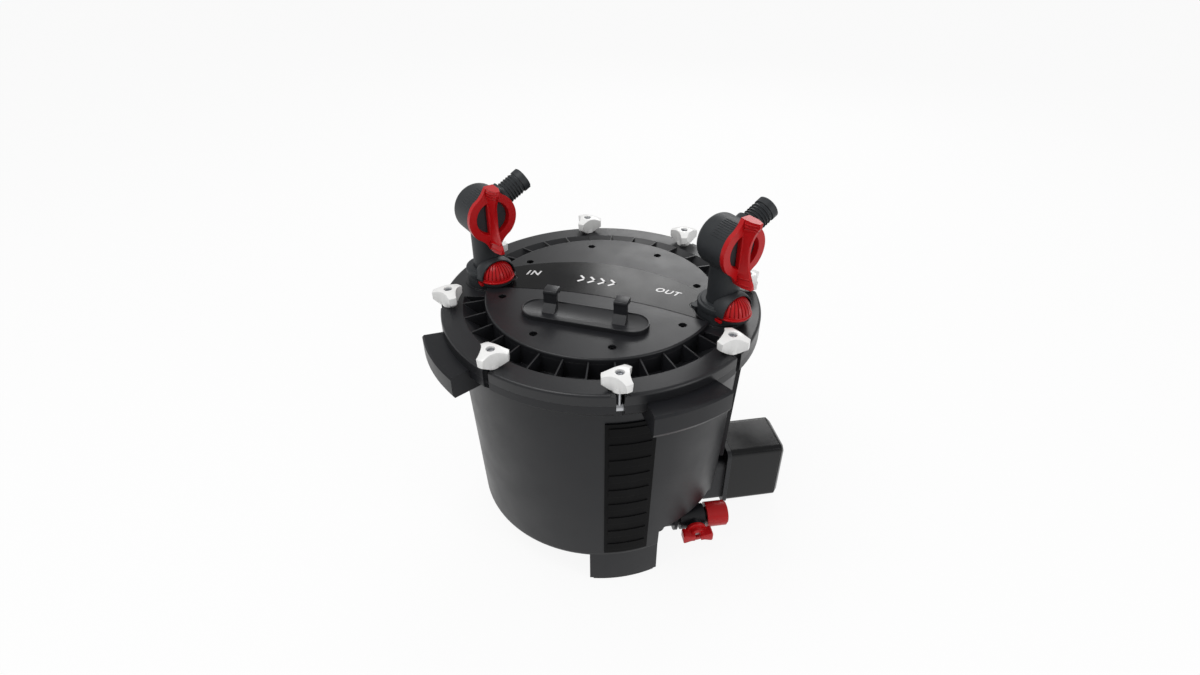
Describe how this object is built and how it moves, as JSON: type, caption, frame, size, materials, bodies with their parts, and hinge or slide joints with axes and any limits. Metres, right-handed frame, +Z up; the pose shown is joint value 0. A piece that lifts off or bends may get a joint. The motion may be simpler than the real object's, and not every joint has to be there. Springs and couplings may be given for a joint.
{
  "type": "external canister filter",
  "caption": "Round canister filter with a clamped lid on swing-out bolts, lever valves with barbed hose tails, a side pump motor and a drain valve.",
  "frame": {"origin": "on the canister's axis, on the surface that the feet stand on", "axes": "+Z up along the canister axis; +X to the right, towards the outlet valve; -Y to the front, where the hook plate is"},
  "size_m": [0.406, 0.352, 0.4245],
  "materials": {
    "shell": "satin charcoal moulding, fine grain",
    "trim": "glossy black inlay",
    "foot_rubber": "matte black rubber",
    "lid_plastic": "satin charcoal moulding",
    "pump_plastic": "matte dark grey moulding",
    "motor_case": "semi-gloss black moulding",
    "rotor_plastic": "light grey moulding",
    "ceramic": "polished white ceramic",
    "stator_iron": "laminated iron with copper windings, potted",
    "steel": "bright stainless",
    "ball_plastic": "smooth light grey",
    "red_plastic": "saturated red, semi-gloss",
    "basket_plastic": "dark grey moulding",
    "foam": null,
    "media": "porous ceramic media, as one block",
    "seal_rubber": "soft sealing rubber",
    "knob_plastic": "glossy white",
    "valve_plastic": "matte charcoal grey"
  },
  "bodies": {
    "root": {"canister_body": "shell", "front_trim": "trim", "rubber_feet": "foot_rubber", "left_handle": "shell", "right_handle": "shell", "pump_housing": "pump_plastic", "impeller_cover": "rotor_plastic", "impeller_shaft": "ceramic", "motor_housing": "motor_case", "motor_end_cap": "motor_case", "stator": "stator_iron", "cable_gland": "motor_case", "motor_screws": "steel", "drain_body": "shell", "riser_pipe": "pump_plastic", "lower_basket": "basket_plastic", "upper_basket": "basket_plastic", "lower_foam": "foam", "upper_foam": "foam", "media_fill": "media", "basket_cover": "basket_plastic", "basket_handle": "red_plastic", "lid": "lid_plastic", "lid_disc": "lid_plastic", "lid_band": "trim", "lid_screws": "steel", "hook_plate": "lid_plastic", "lid_seal": "seal_rubber", "in_collar": "valve_plastic", "in_valve": "valve_plastic", "in_hose_tail": "valve_plastic", "out_collar": "valve_plastic", "out_valve": "valve_plastic", "out_hose_tail": "valve_plastic"},
    "bolt_1": {"clamp_bolt_1": "steel"},
    "knob_1": {"clamp_knob_1": "knob_plastic"},
    "bolt_2": {"clamp_bolt_2": "steel"},
    "knob_2": {"clamp_knob_2": "knob_plastic"},
    "bolt_3": {"clamp_bolt_3": "steel"},
    "knob_3": {"clamp_knob_3": "knob_plastic"},
    "bolt_4": {"clamp_bolt_4": "steel"},
    "knob_4": {"clamp_knob_4": "knob_plastic"},
    "bolt_5": {"clamp_bolt_5": "steel"},
    "knob_5": {"clamp_knob_5": "knob_plastic"},
    "bolt_6": {"clamp_bolt_6": "steel"},
    "knob_6": {"clamp_knob_6": "knob_plastic"},
    "bolt_7": {"clamp_bolt_7": "steel"},
    "knob_7": {"clamp_knob_7": "knob_plastic"},
    "bolt_8": {"clamp_bolt_8": "steel"},
    "knob_8": {"clamp_knob_8": "knob_plastic"},
    "in_lever": {"in_lever": "red_plastic", "in_ball": "ball_plastic"},
    "in_clip": {"in_lock_clip": "red_plastic"},
    "out_lever": {"out_lever": "red_plastic", "out_ball": "ball_plastic"},
    "out_clip": {"out_lock_clip": "red_plastic"},
    "drain_valve": {"drain_knob": "red_plastic", "drain_ball": "ball_plastic"},
    "drain_cap": {"drain_cap": "red_plastic"},
    "rotor": {"impeller": "rotor_plastic"}
  },
  "joints": [
    {"name": "bolt_1_swing", "type": "hinge", "parent": "root", "child": "bolt_1", "pos_m": [0.06352, -0.15336, 0.281], "axis": [0.9239, 0.3827, 0], "range_deg": [0, 90]},
    {"name": "knob_1_turn", "type": "hinge", "parent": "bolt_1", "child": "knob_1", "pos_m": [0.06352, -0.15336, 0.302], "axis": [0, 0, 1], "continuous": true},
    {"name": "bolt_2_swing", "type": "hinge", "parent": "root", "child": "bolt_2", "pos_m": [0.15336, -0.06352, 0.281], "axis": [0.3827, 0.9239, 0], "range_deg": [0, 90]},
    {"name": "knob_2_turn", "type": "hinge", "parent": "bolt_2", "child": "knob_2", "pos_m": [0.15336, -0.06352, 0.302], "axis": [0, 0, 1], "continuous": true},
    {"name": "bolt_3_swing", "type": "hinge", "parent": "root", "child": "bolt_3", "pos_m": [0.15336, 0.06352, 0.281], "axis": [-0.3827, 0.9239, 0], "range_deg": [0, 90]},
    {"name": "knob_3_turn", "type": "hinge", "parent": "bolt_3", "child": "knob_3", "pos_m": [0.15336, 0.06352, 0.302], "axis": [0, 0, 1], "continuous": true},
    {"name": "bolt_4_swing", "type": "hinge", "parent": "root", "child": "bolt_4", "pos_m": [0.06352, 0.15336, 0.281], "axis": [-0.9239, 0.3827, 0], "range_deg": [0, 90]},
    {"name": "knob_4_turn", "type": "hinge", "parent": "bolt_4", "child": "knob_4", "pos_m": [0.06352, 0.15336, 0.302], "axis": [0, 0, 1], "continuous": true},
    {"name": "bolt_5_swing", "type": "hinge", "parent": "root", "child": "bolt_5", "pos_m": [-0.06352, 0.15336, 0.281], "axis": [-0.9239, -0.3827, 0], "range_deg": [0, 90]},
    {"name": "knob_5_turn", "type": "hinge", "parent": "bolt_5", "child": "knob_5", "pos_m": [-0.06352, 0.15336, 0.302], "axis": [0, 0, 1], "continuous": true},
    {"name": "bolt_6_swing", "type": "hinge", "parent": "root", "child": "bolt_6", "pos_m": [-0.15336, 0.06352, 0.281], "axis": [-0.3827, -0.9239, 0], "range_deg": [0, 90]},
    {"name": "knob_6_turn", "type": "hinge", "parent": "bolt_6", "child": "knob_6", "pos_m": [-0.15336, 0.06352, 0.302], "axis": [0, 0, 1], "continuous": true},
    {"name": "bolt_7_swing", "type": "hinge", "parent": "root", "child": "bolt_7", "pos_m": [-0.15336, -0.06352, 0.281], "axis": [0.3827, -0.9239, 0], "range_deg": [0, 90]},
    {"name": "knob_7_turn", "type": "hinge", "parent": "bolt_7", "child": "knob_7", "pos_m": [-0.15336, -0.06352, 0.302], "axis": [0, 0, 1], "continuous": true},
    {"name": "bolt_8_swing", "type": "hinge", "parent": "root", "child": "bolt_8", "pos_m": [-0.06352, -0.15336, 0.281], "axis": [0.9239, -0.3827, 0], "range_deg": [0, 90]},
    {"name": "knob_8_turn", "type": "hinge", "parent": "bolt_8", "child": "knob_8", "pos_m": [-0.06352, -0.15336, 0.302], "axis": [0, 0, 1], "continuous": true},
    {"name": "in_lever_turn", "type": "hinge", "parent": "root", "child": "in_lever", "pos_m": [-0.1335, 0, 0.3865], "axis": [0.7771, -0.6293, 0], "range_deg": [0, 90]},
    {"name": "in_clip_slide", "type": "slide", "parent": "root", "child": "in_clip", "axis": [0.7771, -0.6293, 0], "range_m": [0, 0.007]},
    {"name": "out_lever_turn", "type": "hinge", "parent": "root", "child": "out_lever", "pos_m": [0.1335, 0, 0.3865], "axis": [0.7771, -0.6293, 0], "range_deg": [0, 90]},
    {"name": "out_clip_slide", "type": "slide", "parent": "root", "child": "out_clip", "axis": [0.7771, -0.6293, 0], "range_m": [0, 0.007]},
    {"name": "drain_knob_turn", "type": "hinge", "parent": "root", "child": "drain_valve", "pos_m": [0.13145, -0.05672, 0.046], "axis": [0.4226, -0.9063, 0], "range_deg": [0, 90]},
    {"name": "drain_cap_turn", "type": "hinge", "parent": "root", "child": "drain_cap", "pos_m": [0.16045, -0.04319, 0.046], "axis": [0.9063, 0.4226, 0], "continuous": true},
    {"name": "rotor_spin", "type": "hinge", "parent": "root", "child": "rotor", "pos_m": [0.13679, 0.0389, 0.047], "axis": [0.8988, 0.4384, 0], "continuous": true}
  ]
}
